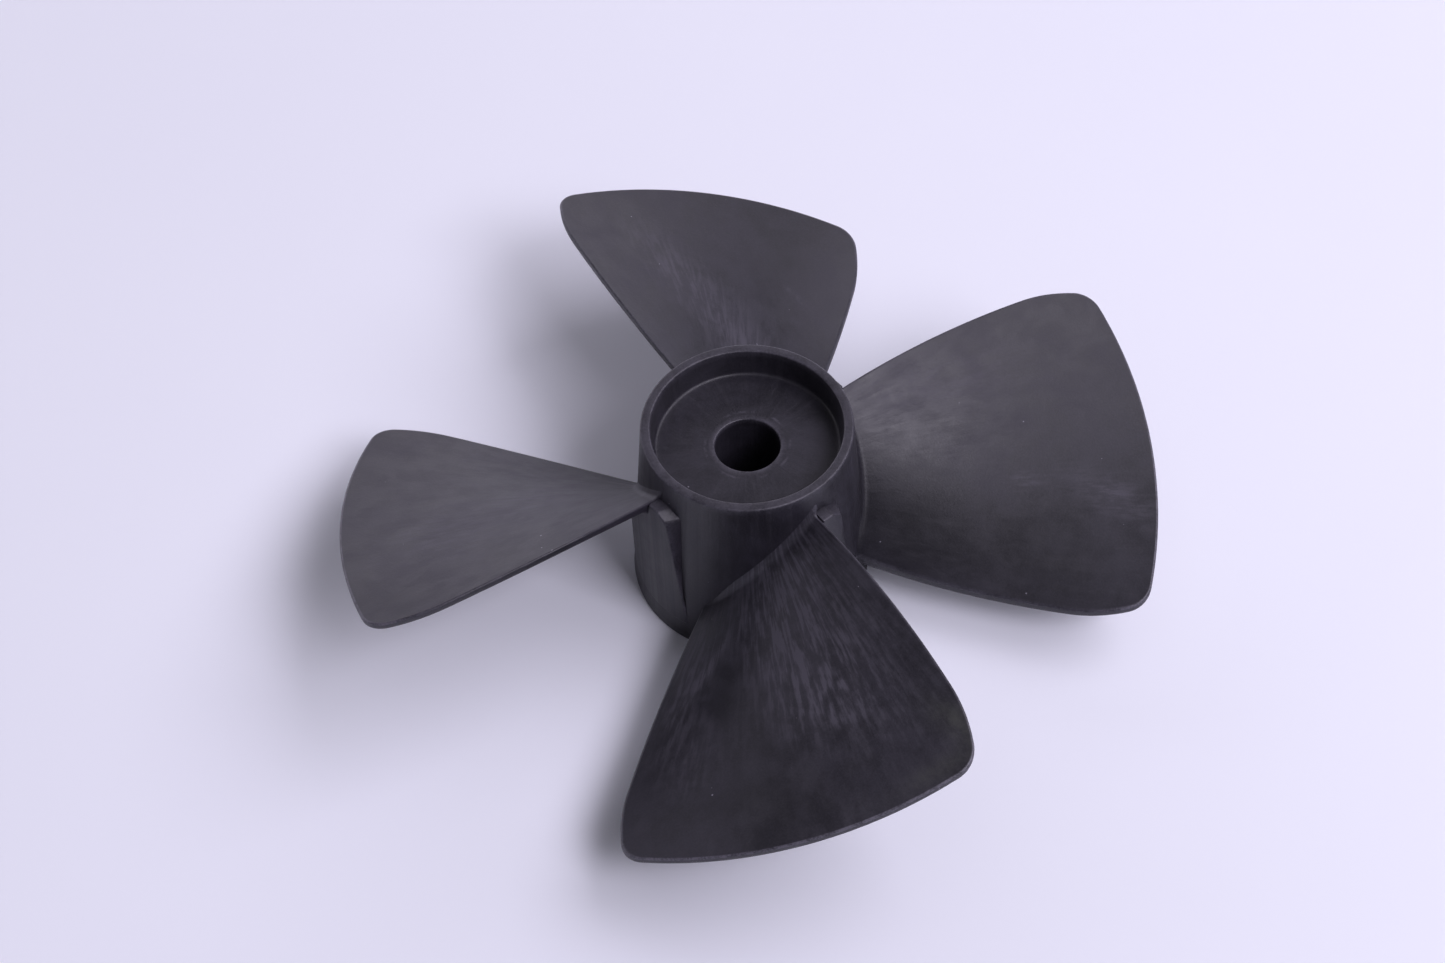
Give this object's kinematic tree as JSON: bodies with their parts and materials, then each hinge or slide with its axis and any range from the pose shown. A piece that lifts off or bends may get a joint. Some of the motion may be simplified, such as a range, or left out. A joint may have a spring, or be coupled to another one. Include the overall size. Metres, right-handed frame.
{
  "type": "tunnel thruster propeller",
  "caption": "Black moulded plastic propeller: broad helical fan blades on a drafted hub with a nut recess and a shaft bore.",
  "frame": {"origin": "on the shaft axis, in the plane of the hub's lower end", "axes": "+Z along the shaft axis from the gear leg's side to the nut's side; +X along the centreline of blade 1"},
  "size_m": [0.18, 0.18, 0.048],
  "materials": {
    "black_plastic": "satin moulded black plastic with fine grain, scuffs and paler worn edges"
  },
  "bodies": {
    "root": {"hub_barrel": "black_plastic", "hub_web": "black_plastic", "shaft_boss": "black_plastic", "hub_rib_1": "black_plastic", "hub_rib_2": "black_plastic", "hub_rib_3": "black_plastic", "hub_rib_4": "black_plastic", "blade_1": "black_plastic", "blade_2": "black_plastic", "blade_3": "black_plastic", "blade_4": "black_plastic", "root_pad_1": "black_plastic", "root_pad_2": "black_plastic", "root_pad_3": "black_plastic", "root_pad_4": "black_plastic"}
  },
  "joints": []
}
